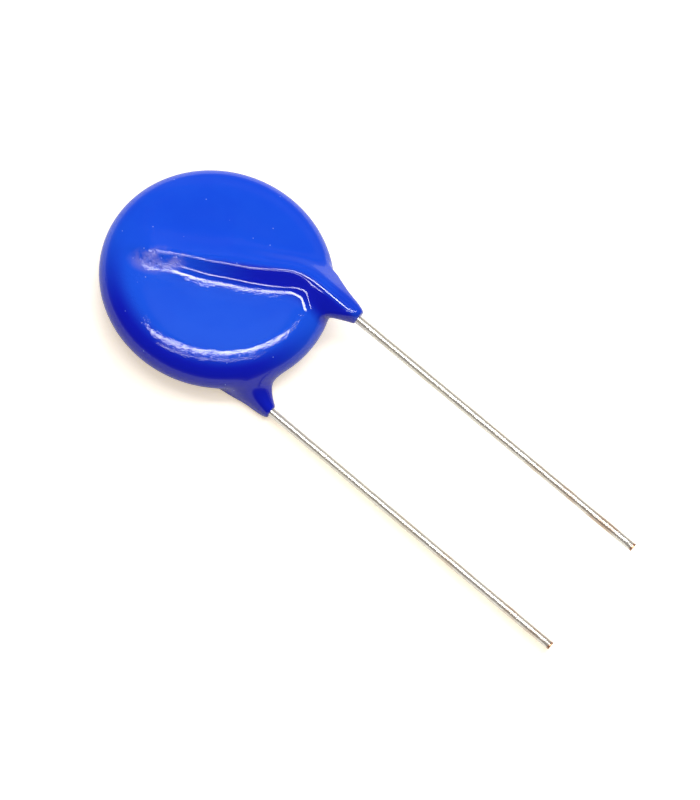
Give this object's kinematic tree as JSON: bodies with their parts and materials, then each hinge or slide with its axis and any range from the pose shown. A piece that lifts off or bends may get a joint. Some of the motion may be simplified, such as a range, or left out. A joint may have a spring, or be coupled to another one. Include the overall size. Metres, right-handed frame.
{
  "type": "disc varistor",
  "caption": "Epoxy-dipped metal-oxide disc varistor with straight radial wire leads, for clamping voltage surges across a mains or supply line.",
  "frame": {"origin": "on the surface that the part lies on, under the middle of its bounding box", "axes": "+Z along the disc's axis, from the rear face that it lies on up to the front face; +X along the leads, from the disc to their cut ends; +Y across the leads, towards the front lead"},
  "size_m": [0.0552, 0.0214, 0.0062],
  "materials": {
    "blue_epoxy": "glossy dipped epoxy",
    "zinc_oxide": "matte sintered ceramic",
    "fired_silver": "matte fired silver",
    "solder": "satin",
    "tinned_wire": "bright tinned copper"
  },
  "bodies": {
    "root": {"epoxy_coating": "blue_epoxy", "ceramic_disc": "zinc_oxide", "front_electrode": "fired_silver", "rear_electrode": "fired_silver", "front_solder": "solder", "rear_solder": "solder", "front_lead": "tinned_wire", "rear_lead": "tinned_wire"}
  },
  "joints": []
}
